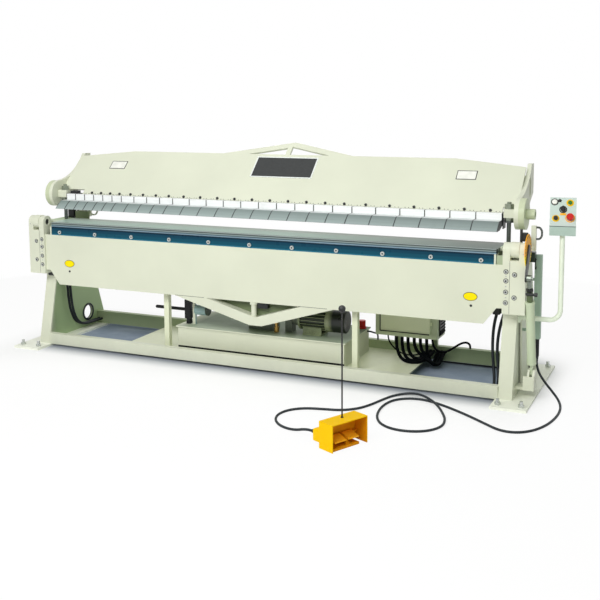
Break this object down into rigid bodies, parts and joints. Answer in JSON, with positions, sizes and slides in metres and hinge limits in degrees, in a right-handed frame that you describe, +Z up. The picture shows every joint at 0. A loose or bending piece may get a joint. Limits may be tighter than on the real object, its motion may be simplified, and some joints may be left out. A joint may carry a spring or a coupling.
{
  "type": "hydraulic box and pan brake",
  "caption": "Hydraulic sheet metal folding machine with a raised clamping beam of segmented fingers, a swinging bending apron, two end stands, a power unit, a pendant and a foot pedal.",
  "frame": {"origin": "middle of the footprint of the machine, its pendant and its pedal, on the floor", "axes": "+X along the bending line to the operator's right, +Y to the rear, +Z up"},
  "size_m": [3.6898, 1.8876, 1.4015],
  "materials": {
    "ivory_paint": "semi-gloss enamel",
    "olive_paint": "semi-gloss enamel",
    "blue_paint": "gloss enamel",
    "ground_steel": "ground and polished",
    "bed_steel": "ground",
    "chrome_rod": "hard chrome",
    "black_steel": "black oxide",
    "zinc_steel": "zinc plated",
    "brass": "turned",
    "red_plastic": "gloss",
    "green_plastic": "gloss",
    "black_plastic": "satin",
    "white_plastic": "gloss",
    "black_rubber": "matte",
    "yellow_paint": "gloss enamel",
    "orange_paint": "gloss enamel",
    "pale_blue_paint": "semi-gloss enamel",
    "grey_plastic": "satin",
    "cast_grey": "painted casting"
  },
  "bodies": {
    "frame": {"anchor_bolts": "black_steel", "bed_beam": "ivory_paint", "bed_nose": "bed_steel", "breather_cap": "red_plastic", "cabinet": "ivory_paint", "cabinet_cables": "black_rubber", "cabinet_fittings": "black_plastic", "cable_duct": "grey_plastic", "clamp_cylinders": "ivory_paint", "floor_frame": "ivory_paint", "front_rail": "ivory_paint", "hydraulic_hoses": "black_rubber", "limit_switches": "olive_paint", "motor_body": "olive_paint", "motor_cowl": "olive_paint", "pedal_cord": "black_rubber", "pedal_handle": "zinc_steel", "pedal_housing": "yellow_paint", "pendant_arm": "pale_blue_paint", "pendant_box": "pale_blue_paint", "pendant_lamps": "white_plastic", "pipework": "black_steel", "pump_unit": "cast_grey", "rear_rail": "ivory_paint", "relief_valve": "brass", "stand_left": "ivory_paint", "stand_right": "ivory_paint", "tank": "ivory_paint"},
    "beam": {"fingers_76": "ground_steel", "fingers_102": "ground_steel", "fingers_127": "ground_steel", "fingers_152": "ground_steel", "finger_bolts": "black_steel", "finger_holder": "black_steel", "beam_panel": "ivory_paint", "beam_truss": "ivory_paint", "beam_end_plates": "ivory_paint", "beam_trunnions": "ivory_paint", "clamp_rods": "chrome_rod"},
    "apron": {"apron_plate": "ivory_paint", "apron_nose": "ground_steel", "apron_bar": "blue_paint", "apron_bolts": "zinc_steel", "apron_truss": "ivory_paint", "hinge_brackets": "ivory_paint", "hinge_shafts": "black_steel", "angle_dial": "orange_paint"},
    "bend_cylinder_right": {"bend_cylinder_right": "ivory_paint"},
    "piston_rod_right": {"piston_rod_right": "chrome_rod"},
    "cabinet_door": {"cabinet_door": "ivory_paint"},
    "limit_lever": {"limit_lever": "black_plastic"},
    "push_button": {"push_button": "black_plastic"},
    "stop_button": {"stop_button": "red_plastic"},
    "start_button": {"start_button": "green_plastic"},
    "selector_knob": {"selector_knob": "black_plastic"},
    "treadle_left": {"treadle_left": "orange_paint"},
    "treadle_right": {"treadle_right": "orange_paint"}
  },
  "joints": [
    {"name": "beam_lift", "type": "slide", "parent": "frame", "child": "beam", "axis": [0, 0, -1], "range_m": [0, 0.0895]},
    {"name": "apron_fold", "type": "hinge", "parent": "frame", "child": "apron", "pos_m": [-0.09794, 0.18381, 0.86], "axis": [-1, 0, 0], "range_deg": [0, 135]},
    {"name": "cylinder_tilt_right", "type": "hinge", "parent": "frame", "child": "bend_cylinder_right", "pos_m": [1.62806, 0.25881, 0.15], "axis": [-1, 0, 0], "range_deg": [0, 6.06]},
    {"name": "piston_stroke_right", "type": "slide", "parent": "bend_cylinder_right", "child": "piston_rod_right", "axis": [0, -0.2472, 0.969], "range_m": [0, 0.2801]},
    {"name": "cabinet_door_hinge", "type": "hinge", "parent": "frame", "child": "cabinet_door", "pos_m": [0.94846, 0.57241, 0.3865], "axis": [0, 0, 1], "range_deg": [0, 110]},
    {"name": "limit_lever_pivot", "type": "hinge", "parent": "frame", "child": "limit_lever", "pos_m": [1.61906, 0.34781, 0.786], "axis": [1, 0, 0], "range_deg": [-20, 20], "stiffness_Nm_per_rad": 0.5},
    {"name": "push_button_press", "type": "slide", "parent": "frame", "child": "push_button", "axis": [-0.1205, 0.8576, -0.5], "range_m": [0, 0.003], "stiffness_N_per_m": 600},
    {"name": "stop_button_press", "type": "slide", "parent": "frame", "child": "stop_button", "axis": [-0.1205, 0.8576, -0.5], "range_m": [0, 0.006], "stiffness_N_per_m": 900},
    {"name": "start_button_press", "type": "slide", "parent": "frame", "child": "start_button", "axis": [-0.1205, 0.8576, -0.5], "range_m": [0, 0.003], "stiffness_N_per_m": 600},
    {"name": "selector_turn", "type": "hinge", "parent": "frame", "child": "selector_knob", "pos_m": [1.77034, 0.28883, 1.08382], "axis": [0.1205, -0.8576, 0.5], "range_deg": [-45, 45]},
    {"name": "treadle_left_press", "type": "hinge", "parent": "frame", "child": "treadle_left", "pos_m": [0.86541, -0.85558, 0.046], "axis": [0.4399, 0.898, 0], "range_deg": [0, 8], "stiffness_Nm_per_rad": 8},
    {"name": "treadle_right_press", "type": "hinge", "parent": "frame", "child": "treadle_right", "pos_m": [0.9138, -0.7568, 0.046], "axis": [0.4399, 0.898, 0], "range_deg": [0, 8], "stiffness_Nm_per_rad": 8}
  ],
  "couplings": [
    {"joint": "cylinder_tilt_right", "follows": "apron_fold", "ratio": 0.044877},
    {"joint": "piston_stroke_right", "follows": "apron_fold", "m_per_rad": 0.11887}
  ]
}
